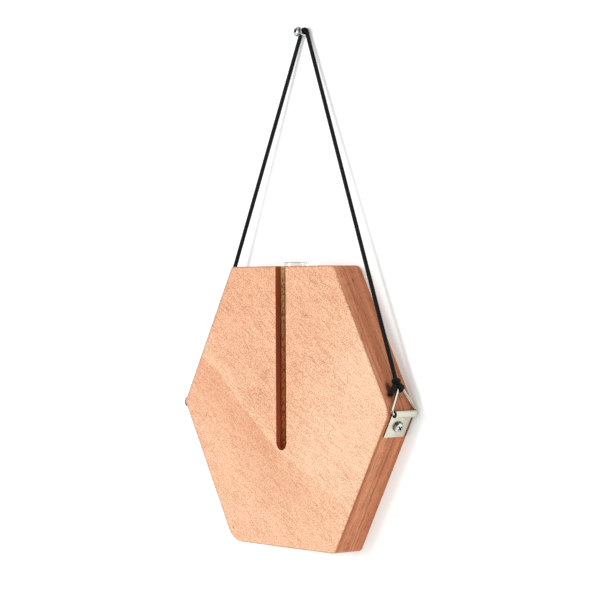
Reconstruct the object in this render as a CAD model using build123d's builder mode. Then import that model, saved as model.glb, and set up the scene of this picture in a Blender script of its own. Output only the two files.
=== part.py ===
"""Hanging wall vase.

A hexagonal block of wood holds a glass test tube in a bore behind an open front slot. Two strap hangers
with triangle rings are screwed to the block's lower sides, and a cord knotted to the rings hangs over a wall
screw.

Millimetres. The origin is where the wall screw's axis meets the wall. The wall is the plane Y = 0, the front
faces -Y and +Z is up.
"""

import os
from math import acos, atan2, cos, degrees, pi, radians, sin, sqrt

from build123d import *

# Wooden block
BLOCK_CORNER_RADIUS = 100.0
BLOCK_DROP = 230.4
FACE_EDGE_ROUND = 1.0
CORNER_ROUND_RIGHT = 8.0
CORNER_ROUND_TOP_RIGHT = 6.0
CORNER_ROUND_TOP_LEFT = 2.5
CORNER_ROUND_LEFT = 3.0
CORNER_ROUND_BOTTOM_LEFT = 15.0
CORNER_ROUND_BOTTOM_RIGHT = 3.5

# Glass tube, the bore that it stands in and the slot in front of it
TUBE_DIAMETER = 15.0
TUBE_WALL = 1.0
TUBE_LENGTH = 130.0
TUBE_PROUD = 2.3
TUBE_RIM_ROUND = 0.45
TUBE_SIDE_GAP = 0.3
TUBE_LEAN_DIRECTION = 51.0
BORE_CLEARANCE = 1.5
BORE_WALL = 2.0
BORE_FLOOR_GAP = 0.3
SLOT_WIDTH = 10.0
SLOT_LENGTH = 113.6

# Strap hangers: sheet with one end rolled into a knuckle
STRAP_WIDTH = 15.7
STRAP_LENGTH = 17.0
STRAP_SHEET = 0.8
STRAP_END_ROUND = 0.8
KNUCKLE_RADIUS = 2.2
KNUCKLE_MOUTH_ANGLE = 60.0

# Strap screws
STRAP_SCREW_PLACE = 9.5
STRAP_SCREW_HEAD = 6.8
STRAP_SCREW_HEAD_HEIGHT = 2.5
STRAP_SCREW_SHANK = 2.4
STRAP_SCREW_THREAD = 3.0
STRAP_SCREW_LENGTH = 16.0
STRAP_HOLE_CLEARANCE = 0.2
PILOT_CLEARANCE = 0.05

# Triangle rings of bent wire
RING_WIRE = 1.8
RING_HALF_BASE = 10.5
RING_HEIGHT = 18.3
RING_APEX_BACK = 2.7
RING_CORNER_BEND = 1.5
RING_APEX_BEND = 2.3
RING_SEAT_CLEARANCE = 0.15

# Cord and its knots
CORD_DIAMETER = 2.4
CORD_OFF_WALL = 2.2
CORD_SCREW_CLEARANCE = 0.25
LOOP_THICKNESS = 1.8
LOOP_CLEARANCE = 0.2
KNOT_RADIUS = 2.5
KNOT_RISE = 3.6
KNOT_FORWARD = 1.7
KNOT_CORD_CLEARANCE = 0.3
TAIL_DIAMETER = 2.6
TAIL_FORWARD = 7.6
TAIL_DOWN = 7.3
TAIL_OUT = 2.6

# Wall screw
WALL_SCREW_TILT = 12.0
WALL_SCREW_HEAD = 6.4
WALL_SCREW_HEAD_HEIGHT = 2.4
WALL_SCREW_SHANK = 2.6
WALL_SCREW_SHANK_LENGTH = 7.2
WALL_SCREW_THREAD = 3.5
WALL_SCREW_LENGTH = 30.0

# Shared shapes of the screws
SCREW_TIP_LENGTH = 4.0
SCREW_RIM_HEIGHT = 0.7
RECESS_LENGTH = 3.7
RECESS_WIDTH = 0.95
RECESS_DEPTH = 1.3

# Places and sizes worked out from the sizes above
BORE_DIAMETER = TUBE_DIAMETER + 2 * BORE_CLEARANCE
BLOCK_THICKNESS = BORE_DIAMETER + 2 * BORE_WALL
MID_Y = -BLOCK_THICKNESS / 2
BLOCK_HALF_HEIGHT = BLOCK_CORNER_RADIUS * sqrt(3) / 2
BLOCK_TOP = BLOCK_HALF_HEIGHT - BLOCK_DROP
FACE_DOWN = Vector(-sin(radians(30)), 0, -cos(radians(30)))
FACE_OUT = Vector(cos(radians(30)), 0, -sin(radians(30)))
FACE_CORNER = Vector(BLOCK_CORNER_RADIUS, MID_Y, -BLOCK_DROP)

SCREW_OUT = Vector(0, -cos(radians(WALL_SCREW_TILT)), sin(radians(WALL_SCREW_TILT)))
CORD_CENTRE = SCREW_OUT * (CORD_OFF_WALL / cos(radians(WALL_SCREW_TILT)))
CORD_BEND = (CORD_DIAMETER + WALL_SCREW_SHANK) / 2 + CORD_SCREW_CLEARANCE

TUBE_LEAN = BORE_CLEARANCE - TUBE_SIDE_GAP
TUBE_X = TUBE_LEAN * cos(radians(TUBE_LEAN_DIRECTION))
TUBE_Y = MID_Y + TUBE_LEAN * sin(radians(TUBE_LEAN_DIRECTION))
TUBE_TOP = BLOCK_TOP + TUBE_PROUD
TUBE_BOTTOM = TUBE_TOP - TUBE_LENGTH
BORE_DEPTH = BLOCK_TOP - TUBE_BOTTOM + BORE_FLOOR_GAP

KNUCKLE_AXIS = FACE_CORNER + FACE_OUT * KNUCKLE_RADIUS
STRAP_SCREW_SEAT = FACE_CORNER + FACE_DOWN * STRAP_SCREW_PLACE + FACE_OUT * STRAP_SHEET


def touch_angle(across, up, radius):
    """Angle of the point where a line from (across, up) touches a circle round (0, 0), on its upper right."""
    return atan2(up, across) + acos(radius / sqrt(across**2 + up**2))


def plane_at(origin, along, out):
    """Plane at origin with its X along one direction and its Y along another."""
    return Plane(origin=origin, x_dir=along, z_dir=along.cross(out))


PULL_ANGLE = touch_angle(KNUCKLE_AXIS.X, KNUCKLE_AXIS.Z - CORD_CENTRE.Z, CORD_BEND)
PULL = Vector(-sin(PULL_ANGLE), 0, cos(PULL_ANGLE))
RING_SEAT = KNUCKLE_RADIUS - STRAP_SHEET - RING_WIRE / 2 - RING_SEAT_CLEARANCE
RING_AXIS = KNUCKLE_AXIS + PULL * RING_SEAT


def pan_screw(seat, out, head, head_height, shank, shank_length, thread, length):
    """Pan-head screw with a cross recess: its head stands out from the seat and its thread runs in."""
    side = Vector(1, 0, 0) if abs(out.X) < 0.5 else Vector(0, 1, 0)
    rim = SCREW_RIM_HEIGHT
    thread_end = SCREW_TIP_LENGTH - length
    with BuildPart() as screw:
        with BuildSketch(plane_at(seat, side, out)):
            with BuildLine():
                Polyline((0, head_height), (0, -length), (thread / 2, thread_end))
                Polyline((thread / 2, thread_end), (thread / 2, -shank_length), (shank / 2, -shank_length))
                Polyline((shank / 2, -shank_length), (shank / 2, 0), (head / 2, 0), (head / 2, rim))
                EllipticalCenterArc((0, rim), head / 2, head_height - rim, start_angle=0, arc_size=90)
            make_face()
        revolve(axis=Axis(seat, out))
        with BuildSketch(Plane(origin=seat + out * head_height, x_dir=side, z_dir=out)):
            for turn in (45, 135):
                Rectangle(RECESS_LENGTH, RECESS_WIDTH, rotation=turn)
        extrude(amount=-RECESS_DEPTH, mode=Mode.SUBTRACT)
    return screw.part


# Wooden block, with its bore, slot and pilot holes
with BuildPart() as wood_block:
    with BuildSketch(Plane.XZ) as block_outline:
        with Locations((0, -BLOCK_DROP)):
            RegularPolygon(BLOCK_CORNER_RADIUS, 6)
        corner_rounds = (
            CORNER_ROUND_RIGHT,
            CORNER_ROUND_TOP_RIGHT,
            CORNER_ROUND_TOP_LEFT,
            CORNER_ROUND_LEFT,
            CORNER_ROUND_BOTTOM_LEFT,
            CORNER_ROUND_BOTTOM_RIGHT,
        )
        for number, corner_round in enumerate(corner_rounds):
            angle = radians(60 * number)
            corner = Vector(cos(angle), sin(angle)) * BLOCK_CORNER_RADIUS + Vector(0, -BLOCK_DROP)
            fillet(block_outline.vertices().sort_by_distance(corner)[0], corner_round)
    extrude(amount=BLOCK_THICKNESS)
    front_and_back = wood_block.faces().filter_by(Axis.Y)
    fillet(front_and_back.edges(), FACE_EDGE_ROUND)
    with BuildSketch(Plane.XY.offset(BLOCK_TOP)):
        with Locations((0, MID_Y)):
            Circle(BORE_DIAMETER / 2)
    extrude(amount=-BORE_DEPTH, mode=Mode.SUBTRACT)
    with BuildSketch(Plane.XZ.offset(BLOCK_THICKNESS)):
        with Locations((0, BLOCK_TOP)):
            Rectangle(SLOT_WIDTH, SLOT_LENGTH - SLOT_WIDTH / 2, align=(Align.CENTER, Align.MAX))
        with Locations((0, BLOCK_TOP - SLOT_LENGTH + SLOT_WIDTH / 2)):
            Circle(SLOT_WIDTH / 2)
    extrude(amount=MID_Y, mode=Mode.SUBTRACT)
    for side in (1, -1):
        seat = Vector(side * STRAP_SCREW_SEAT.X, STRAP_SCREW_SEAT.Y, STRAP_SCREW_SEAT.Z)
        inward = Vector(-side * FACE_OUT.X, 0, -FACE_OUT.Z)
        pilot_depth = STRAP_SCREW_LENGTH + PILOT_CLEARANCE
        with BuildSketch(Plane(origin=seat, x_dir=(0, 1, 0), z_dir=inward)):
            Circle(STRAP_SCREW_THREAD / 2 + PILOT_CLEARANCE)
        extrude(amount=pilot_depth, mode=Mode.SUBTRACT)

# Glass tube: round-bottomed, open at the top, with a fire-polished rim
with BuildPart() as glass_tube:
    outer = TUBE_DIAMETER / 2
    inner = outer - TUBE_WALL
    foot = Vector(TUBE_X, TUBE_Y, TUBE_BOTTOM)
    with BuildSketch(Plane(origin=foot, x_dir=(1, 0, 0), z_dir=(0, -1, 0))) as tube_profile:
        with BuildLine():
            CenterArc((0, outer), outer, -90, 90)
            Polyline((outer, outer), (outer, TUBE_LENGTH), (inner, TUBE_LENGTH), (inner, outer))
            CenterArc((0, outer), inner, -90, 90)
            Line((0, TUBE_WALL), (0, 0))
        make_face()
        fillet(tube_profile.vertices().group_by(Axis.Y)[-1], TUBE_RIM_ROUND)
    revolve(axis=Axis(foot, (0, 0, 1)))

# Right strap: flat on the lower side, rolled outwards round the ring at the corner
with BuildPart() as right_strap:
    strap_plane = plane_at(FACE_CORNER, FACE_DOWN, FACE_OUT)
    with BuildSketch(strap_plane):
        with Locations((0, KNUCKLE_RADIUS)):
            Circle(KNUCKLE_RADIUS)
            Circle(KNUCKLE_RADIUS - STRAP_SHEET, mode=Mode.SUBTRACT)
        with BuildLine():
            mouth = radians(KNUCKLE_MOUTH_ANGLE - 90)
            reach = 2 * KNUCKLE_RADIUS
            mouth_end = (reach * cos(mouth), KNUCKLE_RADIUS + reach * sin(mouth))
            Polyline((0, KNUCKLE_RADIUS), mouth_end, (reach, -reach), (0, -reach), (0, KNUCKLE_RADIUS))
        make_face(mode=Mode.SUBTRACT)
        Rectangle(STRAP_LENGTH, STRAP_SHEET, align=(Align.MIN, Align.MIN))
    extrude(amount=STRAP_WIDTH / 2, both=True)
    far_end = right_strap.faces().sort_by(Axis(FACE_CORNER, FACE_DOWN))[-1]
    fillet(far_end.edges().filter_by(Axis(FACE_CORNER, FACE_OUT)), STRAP_END_ROUND)
    with BuildSketch(Plane(origin=STRAP_SCREW_SEAT, x_dir=(0, 1, 0), z_dir=FACE_OUT)):
        Circle(STRAP_SCREW_THREAD / 2 + STRAP_HOLE_CLEARANCE)
    extrude(amount=-STRAP_SHEET, mode=Mode.SUBTRACT)

# Right ring: wire bent to a triangle whose base turns in the strap's knuckle
with BuildPart() as right_ring:
    ring_plane = plane_at(RING_AXIS, Vector(0, 1, 0), PULL)
    ring_apex = (RING_APEX_BACK, RING_HEIGHT)
    with BuildLine(ring_plane) as ring_path:
        FilletPolyline(
            (-RING_HALF_BASE, 0),
            (RING_HALF_BASE, 0),
            ring_apex,
            radius=[RING_CORNER_BEND, RING_CORNER_BEND, RING_APEX_BEND],
            close=True,
        )
    ring_wire = ring_path.wire()
    with BuildSketch(Plane(origin=ring_wire @ 0, z_dir=ring_wire % 0)):
        Circle(RING_WIRE / 2)
    sweep(path=ring_wire)

ring_bends = ring_path.edges().filter_by(GeomType.CIRCLE)
apex_bend = ring_bends.sort_by_distance(ring_plane.from_local_coords(Vector(*ring_apex)))[0]
LOOP_CENTRE = apex_bend @ 0.5
KNOT_CENTRE = LOOP_CENTRE + PULL * KNOT_RISE + Vector(0, -KNOT_FORWARD, 0)
CORD_END = KNOT_CENTRE + PULL * (KNOT_RADIUS + KNOT_CORD_CLEARANCE)
TAIL_END = KNOT_CENTRE + Vector(TAIL_OUT, -TAIL_FORWARD, -TAIL_DOWN)

# Right knot: a loop round the ring's apex, the knot's lump and a short tail
with BuildPart() as right_knot:
    with Locations(Plane(origin=LOOP_CENTRE, x_dir=PULL, z_dir=(0, 1, 0))):
        Torus((RING_WIRE + LOOP_THICKNESS) / 2 + LOOP_CLEARANCE, LOOP_THICKNESS / 2)
    with Locations(KNOT_CENTRE):
        Sphere(KNOT_RADIUS)
    with BuildLine() as tail_path:
        Line(KNOT_CENTRE, TAIL_END)
    with BuildSketch(Plane(origin=KNOT_CENTRE, z_dir=TAIL_END - KNOT_CENTRE)):
        Circle(TAIL_DIAMETER / 2)
    sweep(path=tail_path.wire())

# Right half of the cord: a taut run from the knot, then round the wall screw's shank to its top
CORD_UP = Vector(0, CORD_CENTRE.Y - CORD_END.Y, CORD_CENTRE.Z - CORD_END.Z).normalized()
cord_plane = plane_at(CORD_CENTRE, Vector(1, 0, 0), CORD_UP)
cord_start = cord_plane.to_local_coords(CORD_END)
cord_touch = touch_angle(cord_start.X, cord_start.Y, CORD_BEND)
with BuildPart() as right_cord:
    with BuildLine(cord_plane) as cord_path:
        Line((cord_start.X, cord_start.Y), (CORD_BEND * cos(cord_touch), CORD_BEND * sin(cord_touch)))
        CenterArc((0, 0), CORD_BEND, degrees(cord_touch), 90 - degrees(cord_touch))
    cord_wire = cord_path.wire()
    with BuildSketch(Plane(origin=cord_wire @ 0, z_dir=cord_wire % 0)):
        Circle(CORD_DIAMETER / 2)
    sweep(path=cord_wire)

right_strap_screw = pan_screw(
    STRAP_SCREW_SEAT,
    FACE_OUT,
    STRAP_SCREW_HEAD,
    STRAP_SCREW_HEAD_HEIGHT,
    STRAP_SCREW_SHANK,
    STRAP_SHEET,
    STRAP_SCREW_THREAD,
    STRAP_SCREW_LENGTH,
)
wall_screw = pan_screw(
    SCREW_OUT * WALL_SCREW_SHANK_LENGTH,
    SCREW_OUT,
    WALL_SCREW_HEAD,
    WALL_SCREW_HEAD_HEIGHT,
    WALL_SCREW_SHANK,
    WALL_SCREW_SHANK_LENGTH,
    WALL_SCREW_THREAD,
    WALL_SCREW_LENGTH,
)

# The left hanger and its half of the cord mirror the right ones
pieces = {"wood_block": wood_block.part, "glass_tube": glass_tube.part, "wall_screw": wall_screw}
pairs = {
    "strap": right_strap.part,
    "strap_screw": right_strap_screw,
    "ring": right_ring.part,
    "knot": right_knot.part,
    "cord": right_cord.part,
}
for name, right_piece in pairs.items():
    with BuildPart() as left_piece:
        mirror(right_piece, about=Plane.YZ)
    pieces["right_" + name] = right_piece
    pieces["left_" + name] = left_piece.part

os.makedirs("parts", exist_ok=True)
for name, piece in pieces.items():
    piece.label = name
    export_step(piece, f"parts/{name}.step")

swept_volume = pi * CORD_DIAMETER**2 / 4 * cord_wire.length
print("each cord half: length", round(cord_wire.length, 2), "bend radius", round(CORD_BEND, 2))
print("its volume", round(right_cord.part.volume, 2), "its section times its length", round(swept_volume, 2))
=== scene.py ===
"""Hanging wall vase: finishes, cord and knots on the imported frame, with camera, light and wall."""

from math import cos, pi, radians, sin

import bpy
from mathutils import Matrix, Vector


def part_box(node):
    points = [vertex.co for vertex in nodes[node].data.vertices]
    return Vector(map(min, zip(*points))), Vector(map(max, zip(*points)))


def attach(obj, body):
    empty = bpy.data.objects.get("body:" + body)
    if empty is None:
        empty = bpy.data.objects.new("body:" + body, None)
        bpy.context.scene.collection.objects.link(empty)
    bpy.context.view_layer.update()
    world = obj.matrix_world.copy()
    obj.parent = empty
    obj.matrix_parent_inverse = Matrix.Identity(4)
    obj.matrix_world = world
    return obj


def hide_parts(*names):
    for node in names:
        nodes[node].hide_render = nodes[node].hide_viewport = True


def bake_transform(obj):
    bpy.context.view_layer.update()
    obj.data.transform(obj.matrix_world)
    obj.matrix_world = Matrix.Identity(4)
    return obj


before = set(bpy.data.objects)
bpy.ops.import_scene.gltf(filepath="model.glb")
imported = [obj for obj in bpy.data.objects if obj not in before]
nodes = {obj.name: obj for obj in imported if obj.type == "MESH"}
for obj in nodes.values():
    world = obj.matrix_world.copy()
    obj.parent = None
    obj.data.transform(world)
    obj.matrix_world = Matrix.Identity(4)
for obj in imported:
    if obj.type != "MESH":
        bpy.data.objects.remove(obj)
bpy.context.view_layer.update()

MM = 0.001
SIDES = {"right": 1, "left": -1}


def srgb(red, green, blue):
    """A display colour, 0 to 255, as the linear colour that shaders take."""
    channels = []
    for value in (red, green, blue):
        share = value / 255
        channels.append(share / 12.92 if share <= 0.04045 else ((share + 0.055) / 1.055) ** 2.4)
    return (*channels, 1.0)


def on_side(place, side):
    """A place or direction on the right half, or its mirror image on the left."""
    return Vector((side * place.x, place.y, place.z))


class Graph:
    """Adds nodes to one node tree."""

    def __init__(self, tree):
        self.tree = tree

    def feed(self, socket, value):
        if isinstance(value, bpy.types.NodeSocket):
            self.tree.links.new(value, socket)
        else:
            socket.default_value = value

    def add(self, kind, inputs=None, **settings):
        node = self.tree.nodes.new("ShaderNode" + kind)
        for key, value in settings.items():
            setattr(node, key, value)
        for key, value in (inputs or {}).items():
            self.feed(node.inputs[key], value)
        return node

    def parts(self, vector):
        return self.add("SeparateXYZ", {"Vector": vector}).outputs

    def math(self, operation, *values):
        node = self.add("Math", operation=operation)
        for socket, value in zip(node.inputs, values):
            self.feed(socket, value)
        return node.outputs[0]

    def step(self, value, low, high, start=0.0, end=1.0):
        """Goes smoothly from start to end while the value goes from low to high."""
        inputs = {"Value": value, "From Min": low, "From Max": high, "To Min": start, "To Max": end}
        return self.add("MapRange", inputs, interpolation_type="SMOOTHSTEP").outputs["Result"]

    def mix(self, share, first, second):
        node = self.add("Mix", data_type="RGBA")
        for index, value in ((0, share), (6, first), (7, second)):
            self.feed(node.inputs[index], value)
        return node.outputs[2]

    def length(self, vector):
        return self.add("VectorMath", {0: vector}, operation="LENGTH").outputs["Value"]

    def sized(self, vector, size, turn=(0, 0, 0), centre=(0, 0, 0)):
        """Places counted in a pattern's own size along its X, Y and Z, turned about them."""
        inputs = {"Vector": vector, "Location": centre, "Rotation": turn, "Scale": size}
        return self.add("Mapping", inputs, vector_type="TEXTURE").outputs["Vector"]

    def grain(self, vector, size, turn=(0, 0, 0), detail=2.0, roughness=0.5, distortion=0.0):
        """Noise round 0.5 whose features have a size along their own X, Y and Z, turned about them."""
        inputs = {"Vector": self.sized(vector, size, turn), "Scale": 1.0, "Detail": detail}
        inputs.update({"Roughness": roughness, "Distortion": distortion})
        return self.add("TexNoise", inputs).outputs[0]

    def bump(self, height, distance, strength):
        inputs = {"Height": height, "Distance": distance, "Strength": strength}
        return self.add("Bump", inputs).outputs["Normal"]


class Finish(Graph):
    """One material and the nodes that are added to it."""

    def __init__(self, name):
        self.material = bpy.data.materials.new(name)
        self.material.use_nodes = True
        super().__init__(self.material.node_tree)
        self.surface = self.tree.nodes["Principled BSDF"]
        self.place = self.add("TexCoord").outputs["Object"]

    def finish(self, **inputs):
        for key, value in inputs.items():
            self.feed(self.surface.inputs[key.replace("_", " ")], value)
        return self.material

    def clear_where(self, share, colour=(1, 1, 1, 1)):
        """Lets light straight through by this share."""
        clear = self.add("BsdfTransparent", {"Color": colour})
        both = self.add("MixShader", {0: share, 1: self.surface.outputs[0], 2: clear.outputs[0]})
        self.feed(self.tree.nodes["Material Output"].inputs["Surface"], both.outputs[0])


# Wood: the block and its cuts
BLOCK_LOW, BLOCK_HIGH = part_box("wood_block")
BLOCK_MIDDLE = (BLOCK_LOW + BLOCK_HIGH) / 2
BLOCK_HALF_DEPTH = (BLOCK_HIGH.y - BLOCK_LOW.y) / 2
BLOCK_HALF_HEIGHT = (BLOCK_HIGH.z - BLOCK_LOW.z) / 2
SIDE_LEAN = radians(30)
BORE_RADIUS = 9.0 * MM
SLOT_HALF_WIDTH = 5.0 * MM

# Wood: colours
FACE_LIGHT = srgb(231, 193, 161)
FACE_LOWER = srgb(226, 179, 145)
FACE_MIDDLE = srgb(224, 174, 140)
FACE_DARK = srgb(216, 160, 125)
FACE_DARKEST = srgb(211, 155, 120)
FACE_PORE = srgb(166, 104, 70)
SIDE_LIGHT = srgb(213, 144, 104)
SIDE_DARK = srgb(187, 114, 78)
SIDE_PORE = srgb(120, 64, 41)
# Painted shade, with saw-burnt wood, on the rounded face edges
EDGE_SHADE_AND_BURN = srgb(160, 104, 76)
EDGE_GREY = srgb(150, 140, 130)
# Cut colours: the slot's dark wood is partly painted shade and is painted lighter low down as painted
# light; the bore's wood is painted lighter as painted light, palest near its top
SLOT_WOOD = srgb(148, 67, 35)
SLOT_LOW_LIT = srgb(168, 78, 44)
BORE_WOOD = srgb(255, 164, 102)
BORE_PAINTED_LIGHT = srgb(255, 213, 146)
# Colour of the cracks and scratches, also used as painted shade by the knot's tail and round the straps
CRACK_AND_SHADE = srgb(98, 47, 26)

# Wood: sizes of the faces' patterns along, through and across the grain, and the grain's turn
GRAIN_TURN = (0, radians(32), 0)
FACE_BANDS = (70 * MM, 30 * MM, 9 * MM)
FACE_CLOUDS = (26 * MM, 26 * MM, 16 * MM)
PORE_CLUSTERS = (22 * MM, 22 * MM, 12 * MM)
# Strokes of the faces' hatch: length, width, the level that they start at and how strongly they show
HATCH = (
    (6.0 * MM, 0.42 * MM, 0.56, 0.42),
    (2.0 * MM, 0.36 * MM, 0.52, 0.1),
    (0.85 * MM, 0.6 * MM, 0.48, 0.54),
)
STROKE_FADE = 0.13
FIBRE_SHARE = 0.65
WOOD_RELIEF = 0.05 * MM

# Wood: sizes of the sides' patterns, whose layers lie across Y, and of the bore's specks
SIDE_LAYERS = (90 * MM, 4.5 * MM, 90 * MM)
SIDE_LINES = (140 * MM, 1.3 * MM, 140 * MM)
SIDE_STREAKS = (16 * MM, 0.9 * MM, 16 * MM)
SIDE_FLECKS = (2.4 * MM, 0.7 * MM, 2.4 * MM)
SIDE_MOTTLE = (7 * MM, 7 * MM, 7 * MM)
# Width of a band of painted shade along the sides' back edge
SIDE_SHADE_BAND = 4 * MM
BORE_SPECKS = (1.6 * MM, 1.6 * MM, 1.4 * MM)

# Wood: the line between lighter and darker veneer, in millimetres across and up from the block's middle
TONE_LINE = ((-100, 40), (-79, 28), (-54, 13), (-40, 0), (-6, -25), (28, -42), (63, -59), (100, -75))
TONE_SPAN = 100.0 * MM
TONE_WAVER = 5.0 * MM
TONE_EDGE = (-0.6 * MM, 0.6 * MM)
# Where the faces' tones change: above the tone line, across the block, to its right corner and to its top
DARK_BELOW_LINE = (-50 * MM, -6 * MM)
PALE_ABOVE_LINE = (18 * MM, 0.0)
HATCH_ABOVE_LINE = (0.0, 10 * MM)
DARK_TO_LEFT = (45 * MM, -25 * MM)
CORNER_SLOPE = -0.9
PALE_TO_CORNER = (-10 * MM, 60 * MM)
TOP_SLOPE = -0.3
DARK_TO_TOP = (40 * MM, 120 * MM)

# Wood: depths where a face's colour ends and is full, distances from its left sides where a grey band ends
# and is full, and the band's strength below and above the left corner
FACE_DEPTHS = (1.4 * MM, 0.9 * MM)
GREY_BAND = (2.8 * MM, 1.68 * MM)
GREY_CHANGE = (-20 * MM, 20 * MM)
GREY_LOWER, GREY_UPPER = 0.3, 0.48

# Wood: distances past a cut's wall where its colour ends and is full, and where colours change in the cuts:
# by depth below the block's top, and towards the front of the bore, for painted light low in the slot and
# near the bore's top and painted shade at the bore's front
CUT_END, CUT_FULL = 0.3 * MM, 0.1 * MM
CUT_TOP = (0.0, 0.2 * MM)
SLOT_DEPTHS = (40 * MM, 105 * MM)
BORE_LIT_DEPTHS = (60 * MM, 0.0)
BORE_SHADED_FRONT = (-3.2 * MM, -5.4 * MM)

# Wood: cracks, scratches and a painted shadow by the right knot's tail, each as its middle, half length,
# half width and turn
MARKS_AND_SHADOW = (
    # Painted shadow on the right side, left of the knot's tail
    (Vector((92.4, -14.6, -216.6)) * MM, 6.0 * MM, 3.0 * MM, radians(60)),
    (Vector((55.2, -10.4, -152.6)) * MM, 2.6 * MM, 0.5 * MM, radians(62)),
    (Vector((-49.0, -22.0, -308.5)) * MM, 2.0 * MM, 0.4 * MM, radians(45)),
    (Vector((-76.5, -22.0, -238.5)) * MM, 1.4 * MM, 0.4 * MM, radians(70)),
)

# Wood: painted shade in a dark rim round the straps, its middle on the right, its turn, its half sizes and
# its strength
STRAP_CENTRE = Vector((95.75, -9.6, -237.76)) * MM
STRAP_TURN = (0, SIDE_LEAN, 0)
STRAP_SHADE_RIM = (2.0 * MM, 9.9 * MM, 9.2 * MM)
STRAP_SHADE_SHARE = 0.8

# Glass
GLASS_CLEAR = srgb(252, 252, 250)
GLASS_SMEARED = srgb(247, 248, 245)
GLASS_SHADOW = srgb(245, 246, 243)
GLASS_INDEX = 1.47
SMEARS = (5 * MM, 5 * MM, 9 * MM)
WAVES = (6 * MM, 6 * MM, 30 * MM)
WAVE_RELIEF = 0.1 * MM

# Metal: platings, each as its bright and its dull colour
NICKEL = (srgb(207, 203, 188), srgb(195, 191, 176))
BRIGHT_NICKEL = (srgb(228, 226, 214), srgb(214, 211, 198))
ZINC = (srgb(208, 210, 206), srgb(184, 187, 183))
STRAP_CUT_AND_SHADE = srgb(60, 52, 46)
WIRE_DARK_REFLECTION = srgb(104, 86, 70)
NICKEL_CLOUDS = 5.0 * MM
ZINC_CLOUDS = 1.5 * MM
SCRATCHES = (0.12 * MM, 3 * MM, 0.12 * MM)
SCRATCH_RELIEF = 0.01 * MM
STRAP_ROUGHNESS, WIRE_ROUGHNESS, SCREW_ROUGHNESS = 0.24, 0.08, 0.03

# Metal: screws, each as its seat, way out, head and head height
# Painted shade in the screws' recesses and painted dark reflection round their heads
SCREW_SHADE = srgb(64, 66, 66)
SCREW_RIM = 0.7 * MM
THREAD_PITCH = 1.4 * MM
THREAD_START = 7.4 * MM
THREAD_HEIGHT = 0.9 * MM
WALL_SCREW_OUT = Vector((0, -0.978148, 0.207912))
WALL_SCREW = (WALL_SCREW_OUT * 7.2 * MM, WALL_SCREW_OUT, 6.4 * MM, 2.4 * MM)
STRAP_SCREW_SEAT = Vector((95.943, -11.0, -239.027)) * MM
STRAP_SCREW_OUT = Vector((cos(SIDE_LEAN), 0, -sin(SIDE_LEAN)))
STRAP_SCREW = (STRAP_SCREW_SEAT, STRAP_SCREW_OUT, 6.8 * MM, 2.5 * MM)

# Cord: colours, and sizes of its yarn and dust
CORD_BLACK = srgb(6, 6, 7)
CORD_WORN = srgb(18, 18, 19)
CORD_DUSTY = srgb(28, 27, 27)
YARN = (0.25 * MM,) * 3
DUST = (6 * MM,) * 3
YARN_RELIEF = 0.12 * MM


def tone_line(finish, across):
    """Height of the veneer's tone line at each place across."""
    curve = finish.add("FloatCurve")
    points = curve.mapping.curves[0].points
    places = [((x * MM / TONE_SPAN + 1) / 2, (z * MM / TONE_SPAN + 1) / 2) for x, z in TONE_LINE]
    points[0].location, points[1].location = places[0], places[-1]
    for place in places[1:-1]:
        points.new(*place)
    curve.mapping.update()
    share = finish.math("MULTIPLY_ADD", across, 0.5 / TONE_SPAN, 0.5)
    finish.feed(curve.inputs["Value"], share)
    return finish.math("MULTIPLY_ADD", curve.outputs[0], 2 * TONE_SPAN, -TONE_SPAN)


def hatch(finish, colour, density):
    """Dark pores in fine strokes along the grain, denser in clusters, with light fibres between them."""
    clusters = finish.grain(finish.place, PORE_CLUSTERS, GRAIN_TURN)
    density = finish.math("MULTIPLY", density, finish.step(clusters, 0.38, 0.62, 0.85, 1.1))
    relief = 0.0
    for length, width, level, strength in HATCH:
        strokes = finish.grain(finish.place, (length, length, width), GRAIN_TURN, detail=0.0)
        pores = finish.step(strokes, level, level + STROKE_FADE, 0.0, strength)
        colour = finish.mix(finish.math("MULTIPLY", pores, density), colour, FACE_PORE)
        fibres = finish.step(strokes, 0.46, 0.3, 0.0, strength * FIBRE_SHARE)
        colour = finish.mix(fibres, colour, FACE_LIGHT)
        relief = finish.math("ADD", relief, strokes)
    return colour, relief


def face_colour(finish, x, z):
    """Veneer: two tones that meet along a line, hatched all over with fine pores."""
    bands = finish.grain(finish.place, FACE_BANDS, GRAIN_TURN, detail=3.0, distortion=0.4)
    clouds = finish.grain(finish.place, FACE_CLOUDS, GRAIN_TURN, detail=3.0)
    up = finish.math("SUBTRACT", z, BLOCK_MIDDLE.z)
    above = finish.math("SUBTRACT", up, tone_line(finish, x))
    wavering = finish.math("MULTIPLY_ADD", clouds, TONE_WAVER, -TONE_WAVER / 2)
    past_line = finish.math("ADD", above, wavering)
    below_line = finish.step(above, *DARK_BELOW_LINE)
    near_line = finish.math("MULTIPLY", below_line, finish.step(x, *DARK_TO_LEFT))
    lower = finish.mix(near_line, FACE_LOWER, FACE_DARKEST)
    to_corner = finish.math("MULTIPLY_ADD", up, CORNER_SLOPE, x)
    along_line = finish.step(above, *PALE_ABOVE_LINE, 0.0, 0.5)
    pale = finish.math("MAXIMUM", finish.step(to_corner, *PALE_TO_CORNER, 0.0, 0.75), along_line)
    upper = finish.mix(pale, FACE_MIDDLE, FACE_LIGHT)
    to_top = finish.math("MULTIPLY_ADD", x, TOP_SLOPE, up)
    upper = finish.mix(finish.step(to_top, *DARK_TO_TOP), upper, FACE_DARK)
    colour = finish.mix(finish.step(past_line, *TONE_EDGE), lower, upper)
    colour = finish.mix(finish.step(bands, 0.4, 0.75, 0.0, 0.12), colour, FACE_PORE)
    colour = finish.mix(finish.step(clouds, 0.5, 0.75, 0.0, 0.25), colour, FACE_LIGHT)
    by_tone = finish.step(pale, 0.0, 1.0, 1.25, 0.8)
    return hatch(finish, colour, finish.step(past_line, *HATCH_ABOVE_LINE, 1.0, by_tone))


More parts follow.
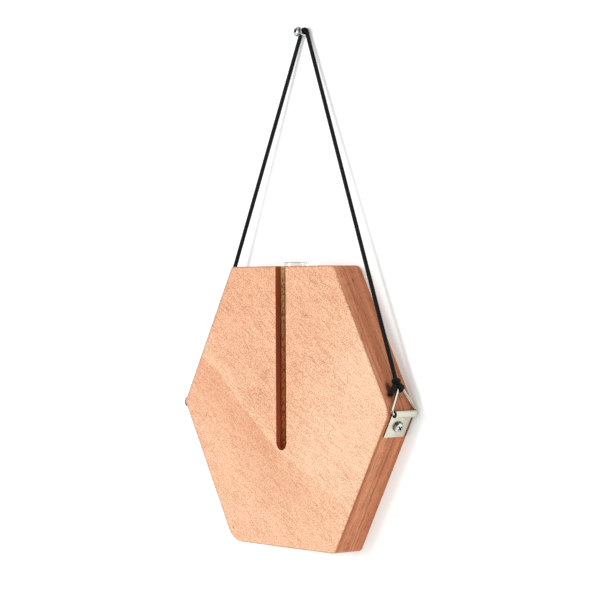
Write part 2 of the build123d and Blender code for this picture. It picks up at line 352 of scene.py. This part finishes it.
def side_colour(finish):
    """Edge grain: layers along the faces with fine streaks and short dark flecks, and painted shade towards
    the back.
    """
    layers = finish.grain(finish.place, SIDE_LAYERS, distortion=0.3)
    lines = finish.grain(finish.place, SIDE_LINES, detail=0.0)
    streaks = finish.grain(finish.place, SIDE_STREAKS, detail=2.5)
    flecks = finish.grain(finish.place, SIDE_FLECKS, detail=1.0)
    mottle = finish.grain(finish.place, SIDE_MOTTLE, detail=3.0)
    y = finish.parts(finish.place)["Y"]
    colour = finish.mix(finish.step(layers, 0.35, 0.65), SIDE_LIGHT, SIDE_DARK)
    colour = finish.mix(finish.step(mottle, 0.4, 0.75, 0.0, 0.5), colour, SIDE_DARK)
    # Painted shade: the sides get darker towards the back, and more so in a band along the back edge
    colour = finish.mix(finish.step(y, BLOCK_LOW.y, BLOCK_HIGH.y, 0.0, 0.35), colour, SIDE_DARK)
    shaded_back = finish.step(y, BLOCK_HIGH.y - SIDE_SHADE_BAND, BLOCK_HIGH.y, 0.0, 0.5)
    colour = finish.mix(shaded_back, colour, SIDE_PORE)
    colour = finish.mix(finish.step(lines, 0.56, 0.7, 0.0, 0.45), colour, SIDE_PORE)
    colour = finish.mix(finish.step(streaks, 0.5, 0.74, 0.0, 0.5), colour, SIDE_PORE)
    colour = finish.mix(finish.step(flecks, 0.6, 0.72, 0.0, 0.6), colour, SIDE_PORE)
    return colour, finish.math("ADD", streaks, flecks)


def greyed_edge(finish, x, z):
    """Share of grey in a narrow band along the hexagon's two left sides, more on the upper one."""
    up = finish.math("SUBTRACT", z, BLOCK_MIDDLE.z)
    off_level = finish.math("MULTIPLY", finish.math("ABSOLUTE", up), sin(SIDE_LEAN))
    to_side = finish.math("MULTIPLY_ADD", x, -cos(SIDE_LEAN), off_level)
    band = finish.step(finish.math("SUBTRACT", BLOCK_HALF_HEIGHT, to_side), *GREY_BAND)
    return finish.math("MULTIPLY", band, finish.step(up, *GREY_CHANGE, GREY_LOWER, GREY_UPPER))


def in_marks_and_shadow(finish):
    """1 inside the cracks, scratches and the painted shadow by the knot's tail, 0 elsewhere."""
    inside = 0.0
    for centre, length, width, turn in MARKS_AND_SHADOW:
        offset = finish.sized(finish.place, (length, width, width), (0, turn, 0), centre)
        inside = finish.math("MAXIMUM", inside, finish.step(finish.length(offset), 1.0, 0.4))
    return inside


def shade_round_straps(finish, x, y, z):
    """1 under the straps and in a narrow rim of painted shade round them, 0 elsewhere."""
    inputs = {"X": finish.math("ABSOLUTE", x), "Y": y, "Z": z}
    right_half = finish.add("CombineXYZ", inputs).outputs[0]
    offset = finish.sized(right_half, STRAP_SHADE_RIM, STRAP_TURN, STRAP_CENTRE)
    off_face, across, along = [finish.math("ABSOLUTE", part) for part in finish.parts(offset)]
    inside = finish.step(finish.math("MAXIMUM", across, along), 1.0, 0.9)
    return finish.math("MULTIPLY", inside, finish.step(off_face, 2.0, 1.0))


def cut_colour(finish, colour, x, z, from_middle, facing):
    """Raw wood in the slot and speckled wood in the bore, with painted light low in the slot and near the
    bore's top, painted glints in the bore, and painted shade in part of the slot's dark colour and at the
    bore's front.
    """
    depth = finish.math("SUBTRACT", BLOCK_HIGH.z, z)
    in_cut = finish.step(depth, *CUT_TOP)
    across = finish.math("ABSOLUTE", x)
    in_slot = finish.step(across, SLOT_HALF_WIDTH + CUT_END, SLOT_HALF_WIDTH + CUT_FULL)
    in_slot = finish.math("MULTIPLY", in_slot, finish.step(facing, 0.5, 0.2))
    from_axis = finish.length(finish.add("CombineXYZ", {"X": x, "Y": from_middle}).outputs[0])
    in_bore = finish.step(from_axis, BORE_RADIUS + CUT_END, BORE_RADIUS + CUT_FULL)
    specks = finish.grain(finish.place, BORE_SPECKS, detail=1.0)
    lit_near_top = finish.step(depth, *BORE_LIT_DEPTHS)

    # Painted light: the slot gets lighter low down
    slot = finish.mix(finish.step(depth, *SLOT_DEPTHS), SLOT_WOOD, SLOT_LOW_LIT)
    # Painted light: the bore gets paler near its top
    bore = finish.mix(lit_near_top, BORE_WOOD, BORE_PAINTED_LIGHT)
    bore = finish.mix(finish.step(specks, 0.52, 0.38, 0.0, 0.7), bore, SLOT_WOOD)
    # Pale specks in the bore are painted glints from the glass
    glint_share = finish.step(lit_near_top, 0.0, 0.5, 0.3, 0.9)
    glint_specks = finish.math("MULTIPLY", finish.step(specks, 0.52, 0.64), glint_share)
    bore = finish.mix(glint_specks, bore, BORE_PAINTED_LIGHT)
    # Painted shade at the bore's front
    bore = finish.mix(finish.step(from_middle, *BORE_SHADED_FRONT), bore, slot)
    colour = finish.mix(finish.math("MULTIPLY", in_slot, in_cut), colour, slot)
    return finish.mix(finish.math("MULTIPLY", in_bore, in_cut), colour, bore)


def wood_material():
    """Fine-pored wood: veneer on the faces, edge grain on the sides, raw wood in the bore and slot, with
    painted shade and painted light on its edges, sides and cuts.
    """
    finish = Finish("fine_pored_wood")
    x, y, z = finish.parts(finish.place)
    normal_x, normal_y, _ = finish.parts(finish.add("TexCoord").outputs["Normal"])
    facing = finish.math("ABSOLUTE", normal_y)
    from_middle = finish.math("SUBTRACT", y, BLOCK_MIDDLE.y)
    depth = finish.math("SUBTRACT", BLOCK_HALF_DEPTH, finish.math("ABSOLUTE", from_middle))
    at_face = finish.step(depth, *FACE_DEPTHS)
    on_face = finish.math("MULTIPLY", at_face, finish.step(facing, 0.1, 0.6))
    on_round = finish.math("MULTIPLY", finish.step(facing, 0.05, 0.4), finish.step(facing, 0.99, 0.85))
    on_round = finish.math("MULTIPLY", on_round, finish.step(normal_x, 0.4, 0.0))
    on_edge = finish.math("MULTIPLY", at_face, on_round)

    face, face_relief = face_colour(finish, x, z)
    face = finish.mix(greyed_edge(finish, x, z), face, EDGE_GREY)
    side, side_relief = side_colour(finish)
    colour = finish.mix(on_face, side, face)
    # Painted shade on the rounded face edges that don't face right, with saw-burnt wood there
    colour = finish.mix(finish.math("MULTIPLY", on_edge, 0.75), colour, EDGE_SHADE_AND_BURN)
    colour = cut_colour(finish, colour, x, z, from_middle, facing)
    # Painted shade: the straps' contact shadow in a rim round them
    strap_shade = finish.math("MULTIPLY", shade_round_straps(finish, x, y, z), STRAP_SHADE_SHARE)
    # Cracks and scratches, and painted shade: the knot tail's shadow and the rim round the straps
    colour = finish.mix(finish.math("MAXIMUM", in_marks_and_shadow(finish), strap_shade), colour, CRACK_AND_SHADE)

    relief = finish.mix(on_face, side_relief, face_relief)
    rough = finish.step(face_relief, 1.2, 1.8, 0.5, 0.68)
    normal = finish.bump(relief, WOOD_RELIEF, 0.35)
    return finish.finish(Base_Color=colour, Roughness=rough, Normal=normal, Specular_IOR_Level=0.22)


def glass_material():
    """Clear glass with faint smears and waves, which lets the light through to the bore."""
    finish = Finish("clear_glass")
    smears = finish.grain(finish.place, SMEARS, detail=3.0)
    waves = finish.grain(finish.place, WAVES, detail=0.0)
    colour = finish.mix(finish.step(smears, 0.4, 0.7), GLASS_CLEAR, GLASS_SMEARED)
    rough = finish.step(smears, 0.45, 0.75, 0.01, 0.08)
    normal = finish.bump(waves, WAVE_RELIEF, 0.15)
    finish.finish(
        Base_Color=colour, Roughness=rough, Normal=normal, IOR=GLASS_INDEX, Transmission_Weight=1.0
    )
    finish.clear_where(finish.add("LightPath").outputs["Is Shadow Ray"], GLASS_SHADOW)
    return finish.material


def metal_finish(name, plating, rough, cloud_size):
    """Plated metal: clouded plating with fine scratches."""
    finish = Finish(name)
    clouds = finish.grain(finish.place, (cloud_size,) * 3, detail=4.0, roughness=0.6)
    scratches = finish.grain(finish.place, SCRATCHES, detail=3.0)
    colour = finish.mix(finish.step(clouds, 0.35, 0.75), *plating)
    shine = finish.step(clouds, 0.3, 0.7, rough, rough * 1.5)
    shine = finish.math("ADD", shine, finish.step(scratches, 0.55, 0.8, 0.0, 0.08))
    finish.finish(Metallic=1.0, Roughness=shine, Normal=finish.bump(scratches, SCRATCH_RELIEF, 0.2))
    return finish, colour


def strap_material():
    """Nickel sheet with darker cut edges: bare metal there, and painted shade along the strap's sides."""
    finish, colour = metal_finish("nickel_strap", NICKEL, STRAP_ROUGHNESS, NICKEL_CLOUDS)
    normal_y = finish.parts(finish.add("TexCoord").outputs["Normal"])["Y"]
    # Darker cut edges, partly painted shade along the strap's sides
    on_cut = finish.step(finish.math("ABSOLUTE", normal_y), 0.6, 0.9)
    return finish.finish(Base_Color=finish.mix(on_cut, colour, STRAP_CUT_AND_SHADE))


def wire_material():
    """Bright nickel wire with a painted dark reflection where it faces out of the ring."""
    finish, colour = metal_finish("nickel_wire", BRIGHT_NICKEL, WIRE_ROUGHNESS, NICKEL_CLOUDS)
    from_middle = finish.math("SUBTRACT", finish.parts(finish.place)["Y"], BLOCK_MIDDLE.y)
    normal_y = finish.parts(finish.add("TexCoord").outputs["Normal"])["Y"]
    outward = finish.math("MULTIPLY", normal_y, finish.math("SIGN", from_middle))
    # Painted dark reflection on the wire's outer side
    dark_reflection = finish.step(outward, 0.35, 0.8, 0.0, 0.85)
    return finish.finish(Base_Color=finish.mix(dark_reflection, colour, WIRE_DARK_REFLECTION))


def screw_material(name, seat, out, head, head_height):
    """Zinc-plated screw: painted shade in its recess and a painted dark reflection round its head, with a
    thread below its shank.
    """
    finish, colour = metal_finish(name, ZINC, SCREW_ROUGHNESS, ZINC_CLOUDS)
    turn = out.to_track_quat("X", "Z").to_euler()
    dome = (head_height - SCREW_RIM, head / 2, head / 2)
    in_dome = finish.sized(finish.place, dome, turn, seat + out * SCREW_RIM)
    up, right, back = finish.parts(in_dome)
    sunk = finish.step(finish.length(in_dome), 0.97, 0.85)
    recess = finish.math("MULTIPLY", sunk, finish.step(up, 0.1, 0.2))
    from_axis = finish.length(finish.add("CombineXYZ", {"X": right, "Y": back}).outputs[0])
    # Painted shade in the recess, and a painted dark reflection round the head's edge
    shade_and_reflection = finish.math("MAXIMUM", recess, finish.step(from_axis, 0.8, 0.98, 0.0, 0.75))
    along, across, over = finish.parts(finish.sized(finish.place, (THREAD_PITCH,) * 3, turn, seat))
    turned = finish.math("DIVIDE", finish.math("ARCTAN2", over, across), 2 * pi)
    ridge = finish.math("PINGPONG", finish.math("ADD", along, turned), 0.5)
    on_thread = finish.step(along, -THREAD_START / THREAD_PITCH, -THREAD_START / THREAD_PITCH - 0.4)
    height = finish.math("MULTIPLY", ridge, on_thread)
    colour = finish.mix(shade_and_reflection, colour, SCREW_SHADE)
    return finish.finish(Base_Color=colour, Normal=finish.bump(height, THREAD_HEIGHT, 1.0))


def cord_material():
    """Matt black braid with a faint dusty lift."""
    finish = Finish("black_cord")
    yarn = finish.grain(finish.place, YARN, detail=3.0)
    dust = finish.grain(finish.place, DUST, detail=3.0)
    colour = finish.mix(finish.step(yarn, 0.35, 0.7), CORD_BLACK, CORD_WORN)
    colour = finish.mix(finish.step(dust, 0.5, 0.8, 0.0, 0.25), colour, CORD_DUSTY)
    rough = finish.step(dust, 0.35, 0.75, 0.66, 0.82)
    normal = finish.bump(yarn, YARN_RELIEF, 0.6)
    return finish.finish(
        Base_Color=colour, Roughness=rough, Normal=normal, Sheen_Weight=0.03, Specular_IOR_Level=0.18
    )


CORD = cord_material()
STRAP = strap_material()
WIRE = wire_material()
finishes = {"wood_block": wood_material(), "glass_tube": glass_material()}
finishes["wall_screw"] = screw_material("zinc_wall_screw", *WALL_SCREW)
for side_name, side in SIDES.items():
    finishes[side_name + "_strap"] = STRAP
    finishes[side_name + "_ring"] = WIRE
    seat, out, head, head_height = STRAP_SCREW
    placed = (on_side(seat, side), on_side(out, side), head, head_height)
    finishes[side_name + "_strap_screw"] = screw_material("zinc_" + side_name + "_screw", *placed)
for node_name, material in finishes.items():
    nodes[node_name].data.materials.clear()
    nodes[node_name].data.materials.append(material)

# Cord: the right half's route, from its knot to the top of the wall screw
CORD_DIAMETER = 2.4 * MM
CORD_ROUTE = (
    Vector((93.007, -10.263, -210.632)) * MM,
    Vector((8.175, -2.665, -11.693)) * MM,
    Vector((3.242, -2.223, -0.126)) * MM,
    Vector((1.817, -2.095, 3.216)) * MM,
    Vector((0.0, -2.095, 3.216)) * MM,
)
CORD_STEP = 0.22 * MM
BRAID_STRANDS = 7
BRAID_PITCH = 1.7 * MM
BRAID_DEPTH = 0.14
BRAID_LEVEL = 0.05
BRAID_SIDES = 28
CURVE_STEPS = 24

# Knot: places are (up along the cord, forward, outward) from its centre
KNOT_CENTRE = Vector((94.105, -10.263, -213.208)) * MM
KNOT_UP = Vector((-0.39225, 0.0, 0.91986))
KNOT_FORWARD = Vector((0.0, -1.0, 0.0))
KNOT_STRAND = 2.25 * MM
KNOT_ENTRY = [Vector((2.8, 0, 0)) * MM, Vector((1.2, 0, 0)) * MM, Vector((-0.9, -0.5, 0.9)) * MM]
WRAP_RADIUS = 1.6 * MM
# Turn of the wraps' first point about the knot's upright axis, from the front, the turn from each point to
# the next, and the points' heights in millimetres
WRAP_FROM, WRAP_STEP = radians(225), radians(45)
WRAP_HEIGHTS = (-0.4, 0.5, 1.1, 1.4, 1.4, 1.2, 0.7, 0.1, -0.6, -1.1, -1.4)
RING_LOOP_RADIUS = 1.7 * MM
RING_LOOP_STRAND = 1.5 * MM
RING_LOOP_POINTS = 22
RING_LOOP_STEP = 2 * pi / 8
RING_LOOP_TAPER = 0.25
RING_BEND = 2.3 * MM
RING_BEND_CENTRE = Vector((-5.9, -1.7, 0.0)) * MM
# Turns round the ring's upper bend run from its back to its front
RING_LOOP_FROM, RING_LOOP_TO = radians(-23), radians(50)
TAIL_START = Vector((-2.3, 1.9, -0.2)) * MM
TAIL_END = Vector((-7.2, 7.0, -0.4)) * MM
TAIL_LENGTH = (TAIL_END - TAIL_START).length
TAIL_SWELL = 1.45
TAIL_REACH = 1.4
FRAY_YARNS = 16
FRAY_LENGTH = 1.7 * MM
FRAY_RADII = (0.28 * MM, 0.22 * MM, 0.14 * MM)
FRAY_SIDES = 6
FRAY_ROOT = 0.3 * MM
FRAY_SPREAD = 0.48
FRAY_SHORTEST = 0.6
FRAY_VARIES = 2.4
FRAY_SPLAYS = (0.15, 0.5)
FRAY_DROOP = Vector((0, 0, 0.12))
GOLDEN_ANGLE = radians(137.5)


def smooth_line(controls):
    """Points along the NURBS spline that has these control points."""
    curve = bpy.data.curves.new("route", "CURVE")
    curve.dimensions = "3D"
    spline = curve.splines.new("NURBS")
    spline.points.add(len(controls) - 1)
    for point, place in zip(spline.points, controls):
        point.co = (*place, 1.0)
    spline.order_u = 3
    spline.use_endpoint_u = True
    spline.resolution_u = CURVE_STEPS
    carrier = bpy.data.objects.new("route", curve)
    line = bpy.data.meshes.new_from_object(carrier)
    points = [vertex.co.copy() for vertex in line.vertices]
    bpy.data.objects.remove(carrier)
    bpy.data.curves.remove(curve)
    bpy.data.meshes.remove(line)
    return points


def evenly(points, step):
    """The same line with its points about a step apart."""
    spaced, carried = [points[0]], 0.0
    for start, end in zip(points, points[1:]):
        length = (end - start).length
        reach = step - carried
        while reach <= length:
            spaced.append(start.lerp(end, reach / length))
            reach += step
        carried = length - (reach - step)
    return spaced[:-1] + [points[-1]]


def across_line(points):
    """For each point of a line, two directions across it that turn as little as they can."""
    ways = []
    for index in range(len(points)):
        before, after = points[max(index - 1, 0)], points[min(index + 1, len(points) - 1)]
        ways.append((after - before).normalized())
    across = ways[0].orthogonal().normalized()
    frames = []
    for way in ways:
        across = (across - way * across.dot(way)).normalized()
        frames.append((across, way.cross(across)))
    return frames


class Strands:
    """Closed tubes that make up one mesh."""

    def __init__(self):
        self.vertices = []
        self.faces = []

    def add(self, points, radii, sides, relief):
        """A tube round the points, with a radius at each, raised by a relief along it and round it."""
        first, along = len(self.vertices), 0.0
        for index, (across, other) in enumerate(across_line(points)):
            if index:
                along += (points[index] - points[index - 1]).length
            for side in range(sides):
                angle = 2 * pi * side / sides
                outward = across * cos(angle) + other * sin(angle)
                self.vertices.append(points[index] + outward * radii[index] * relief(along, angle))
        last = first + (len(points) - 1) * sides
        for ring in range(first, last, sides):
            for side in range(sides):
                here, beside = ring + side, ring + (side + 1) % sides
                self.faces.append((here, beside, beside + sides, here + sides))
        self.faces.append(tuple(reversed(range(first, first + sides))))
        self.faces.append(tuple(range(last, last + sides)))

    def piece(self, name, material):
        mesh = bpy.data.meshes.new(name)
        mesh.from_pydata(self.vertices, [], self.faces)
        mesh.polygons.foreach_set("use_smooth", [True] * len(mesh.polygons))
        mesh.materials.append(material)
        made = bpy.data.objects.new(name, mesh)
        bpy.context.scene.collection.objects.link(made)
        return made


def braid(along, angle):
    """Relief of a round braid, whose strands cross in rows of bumps."""
    lean, rise = BRAID_STRANDS * angle / 2, pi * along / BRAID_PITCH
    bump = abs(cos(lean + rise) * cos(lean - rise))
    return 1 + BRAID_DEPTH * (bump - BRAID_LEVEL)


def smooth(along, angle):
    """No relief."""
    return 1.0


def knot_place(offset, side):
    """A place given as (up, forward, outward) from the knot's centre."""
    outward = KNOT_UP.cross(KNOT_FORWARD)
    up, forward, out = offset
    return on_side(KNOT_CENTRE + KNOT_UP * up + KNOT_FORWARD * forward + outward * out, side)


def knot_controls():
    """The tied strand: down through the knot, round the ring, round itself and out as the tail."""
    controls = list(KNOT_ENTRY)
    loop_corner = RING_LOOP_RADIUS / cos(RING_LOOP_STEP / 2)
    for number in range(RING_LOOP_POINTS):
        angle = RING_LOOP_STEP / 2 - number * RING_LOOP_STEP
        bend = RING_LOOP_FROM + (RING_LOOP_TO - RING_LOOP_FROM) * number / (RING_LOOP_POINTS - 1)
        off_bend = Vector((cos(bend), sin(bend), 0))
        round_wire = off_bend * sin(angle) + Vector((0, 0, cos(angle)))
        controls.append(RING_BEND_CENTRE + off_bend * RING_BEND + round_wire * loop_corner)
    for number, height in enumerate(WRAP_HEIGHTS):
        angle = WRAP_FROM + number * WRAP_STEP
        controls.append(Vector((height * MM, WRAP_RADIUS * cos(angle), WRAP_RADIUS * sin(angle))))
    return controls + [TAIL_START, (TAIL_START + TAIL_END) / 2, TAIL_END]


def knot_radii(points, side):
    """The strand is pulled thin round the ring, and its tail is loose."""
    loop, tail = knot_place(RING_BEND_CENTRE, side), knot_place(TAIL_END, side)
    radii = []
    for point in points:
        past_loop = max((point - loop).length / (RING_BEND + RING_LOOP_RADIUS) - 1, 0)
        off_loop = min(past_loop / RING_LOOP_TAPER, 1)
        near_tail = min(max(TAIL_REACH - (point - tail).length / TAIL_LENGTH, 0), 1)
        strand = RING_LOOP_STRAND + (KNOT_STRAND - RING_LOOP_STRAND) * off_loop
        radii.append(strand / 2 * (1 + (TAIL_SWELL - 1) * near_tail))
    return radii


def tie_knot(side_name, side):
    """The knot's strand with its frayed tail, on the ring."""
    points = evenly(smooth_line([knot_place(offset, side) for offset in knot_controls()]), CORD_STEP)
    strands = Strands()
    strands.add(points, knot_radii(points, side), BRAID_SIDES, braid)
    end, way = points[-1], (points[-1] - points[-4]).normalized()
    across = way.orthogonal().normalized()
    other = way.cross(across)
    for number in range(FRAY_YARNS):
        spread = (number / FRAY_YARNS) ** 0.5
        turn = number * GOLDEN_ANGLE
        aside = (across * cos(turn) + other * sin(turn)) * spread
        root = end - way * FRAY_ROOT + aside * KNOT_STRAND * FRAY_SPREAD
        length = FRAY_LENGTH * (FRAY_SHORTEST + (1 - FRAY_SHORTEST) * sin(FRAY_VARIES * number) ** 2)
        middle = root + (way + aside * FRAY_SPLAYS[0]) * length / 2
        tip = root + (way + aside * FRAY_SPLAYS[1] - FRAY_DROOP) * length
        strands.add([root, middle, tip], FRAY_RADII, FRAY_SIDES, smooth)
    knot = strands.piece(side_name + "_tied_knot", CORD)
    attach(knot, side_name + "_hanger_ring")
    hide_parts(side_name + "_knot")
    return knot


for side_name, side in SIDES.items():
    knot = tie_knot(side_name, side)
    route = [on_side(place, side) for place in CORD_ROUTE]
    line = smooth_line(route)
    points = evenly(line, CORD_STEP)
    strands = Strands()
    strands.add(points, [CORD_DIAMETER / 2] * len(points), BRAID_SIDES, braid)
    half = strands.piece(side_name + "_braided_cord", CORD)
    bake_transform(half)
    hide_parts(side_name + "_cord")

# Wall and floor
WALL_COLOUR = srgb(250, 253, 252)
FLOOR_COLOUR = srgb(244, 244, 243)
WALL_GAP = 0.05 * MM
WALL_HALF_WIDTH = 2.5
WALL_TOP = 1.6
FLOOR_HEIGHT = -0.9
FLOOR_REACH = 3.0
LEFT, RIGHT = -WALL_HALF_WIDTH, WALL_HALF_WIDTH


def stage_plane(name, corners, colour):
    """A plain pale surface that shows from its front alone."""
    finish = Finish(name)
    finish.finish(Base_Color=colour, Roughness=0.9, Specular_IOR_Level=0.1)
    finish.clear_where(finish.add("NewGeometry").outputs["Backfacing"])
    mesh = bpy.data.meshes.new(name)
    mesh.from_pydata(corners, [], [tuple(range(len(corners)))])
    mesh.materials.append(finish.material)
    plane = bpy.data.objects.new(name, mesh)
    bpy.context.scene.collection.objects.link(plane)
    plane.visible_diffuse = False
    plane.visible_shadow = False


wall_foot = [(LEFT, WALL_GAP, FLOOR_HEIGHT), (RIGHT, WALL_GAP, FLOOR_HEIGHT)]
wall_head = [(RIGHT, WALL_GAP, WALL_TOP), (LEFT, WALL_GAP, WALL_TOP)]
floor_front = [(LEFT, -FLOOR_REACH, FLOOR_HEIGHT), (RIGHT, -FLOOR_REACH, FLOOR_HEIGHT)]
stage_plane("wall", wall_foot + wall_head, WALL_COLOUR)
stage_plane("floor", floor_front + wall_foot[::-1], FLOOR_COLOUR)

# Camera, fitted to the block's corners in the photograph
IMAGE_SIDE = 600.0
SENSOR_WIDTH = 36.0
FOCAL_PIXELS = 2371.1
CAMERA_AZIMUTH = radians(50.88)
CAMERA_ELEVATION = radians(0.31)
CAMERA_ROLL = radians(-0.29)
CAMERA_DISTANCE = 1.4806
CAMERA_TARGET = Vector((-0.00806, 0.0, -0.16486))

level = Vector((cos(CAMERA_AZIMUTH), sin(CAMERA_AZIMUTH), 0.0))
forward = Vector((-sin(CAMERA_AZIMUTH), cos(CAMERA_AZIMUTH), 0.0))
back = Vector((0, 0, 1)) * sin(CAMERA_ELEVATION) - forward * cos(CAMERA_ELEVATION)
upright = back.cross(level)
right = level * cos(CAMERA_ROLL) + upright * sin(CAMERA_ROLL)
up = upright * cos(CAMERA_ROLL) - level * sin(CAMERA_ROLL)
camera_data = bpy.data.cameras.new("camera")
camera_data.sensor_width = SENSOR_WIDTH
camera_data.lens = SENSOR_WIDTH * FOCAL_PIXELS / IMAGE_SIDE
camera = bpy.data.objects.new("camera", camera_data)
camera_turn = Matrix((right, up, back)).transposed().to_4x4()
camera.matrix_world = Matrix.Translation(CAMERA_TARGET + back * CAMERA_DISTANCE) @ camera_turn
bpy.context.scene.collection.objects.link(camera)
bpy.context.scene.camera = camera

# Light: a soft box before the wall, up and to the left, in a pale room with a dark flag that shows in
# reflections alone. The room's strength changes over the given heights and places across and behind.
KEY_FROM = Vector((-0.394, -1.0, 0.16)).normalized()
KEY_DISTANCE = 2.6
KEY_SIDE = 0.7
KEY_POWER = 26.0
ROOM_LOW = 1.3
ROOM_TOP = 0.85
ROOM_LEFT = 1.0
ROOM_RIGHT = 1.1
ROOM_BEHIND = 0.8
ROOM_HEIGHTS = (-0.7, 0.7)
ROOM_SIDES = (-0.6, 0.9)
ROOM_DEPTHS = (-0.05, 0.05)
FLAG_FROM = Vector((0.75, -0.38, 0.62)).normalized()
FLAG_SPREAD = radians(34), radians(50)
FLAG_DARK = 0.08
ROOM_THROUGH_GLASS = 0.42
ROOM_SEEN = 0.97

key_data = bpy.data.lights.new("key", "AREA")
key_data.size = KEY_SIDE
key_data.energy = KEY_POWER
key = bpy.data.objects.new("key", key_data)
key_turn = KEY_FROM.to_track_quat("Z", "Y").to_matrix().to_4x4()
key.matrix_world = Matrix.Translation(CAMERA_TARGET + KEY_FROM * KEY_DISTANCE) @ key_turn
key.visible_camera = False
bpy.context.scene.collection.objects.link(key)

world = bpy.data.worlds.new("room")
world.use_nodes = True
bpy.context.scene.world = world
room = Graph(world.node_tree)
way = room.add("TexCoord").outputs["Generated"]
way_x, way_y, way_z = room.parts(way)
by_height = room.step(way_z, *ROOM_HEIGHTS, ROOM_LOW, ROOM_TOP)
by_side = room.step(way_x, *ROOM_SIDES, ROOM_LEFT, ROOM_RIGHT)
strength = room.step(way_y, *ROOM_DEPTHS, room.math("MULTIPLY", by_height, by_side), ROOM_BEHIND)
to_flag = room.add("VectorMath", {0: way, 1: FLAG_FROM}, operation="DOT_PRODUCT").outputs["Value"]
flagged = room.step(to_flag, cos(FLAG_SPREAD[1]), cos(FLAG_SPREAD[0]), strength, FLAG_DARK)
rays = room.add("LightPath").outputs
strength = room.step(rays["Is Glossy Ray"], 0.0, 1.0, strength, flagged)
strength = room.step(rays["Is Transmission Ray"], 0.0, 1.0, strength, ROOM_THROUGH_GLASS)
strength = room.step(rays["Is Camera Ray"], 0.0, 1.0, strength, ROOM_SEEN)
room.feed(world.node_tree.nodes["Background"].inputs["Strength"], strength)
room.feed(world.node_tree.nodes["Background"].inputs["Color"], (1.0, 1.0, 1.0, 1.0))

bpy.context.scene.view_settings.view_transform = "Standard"
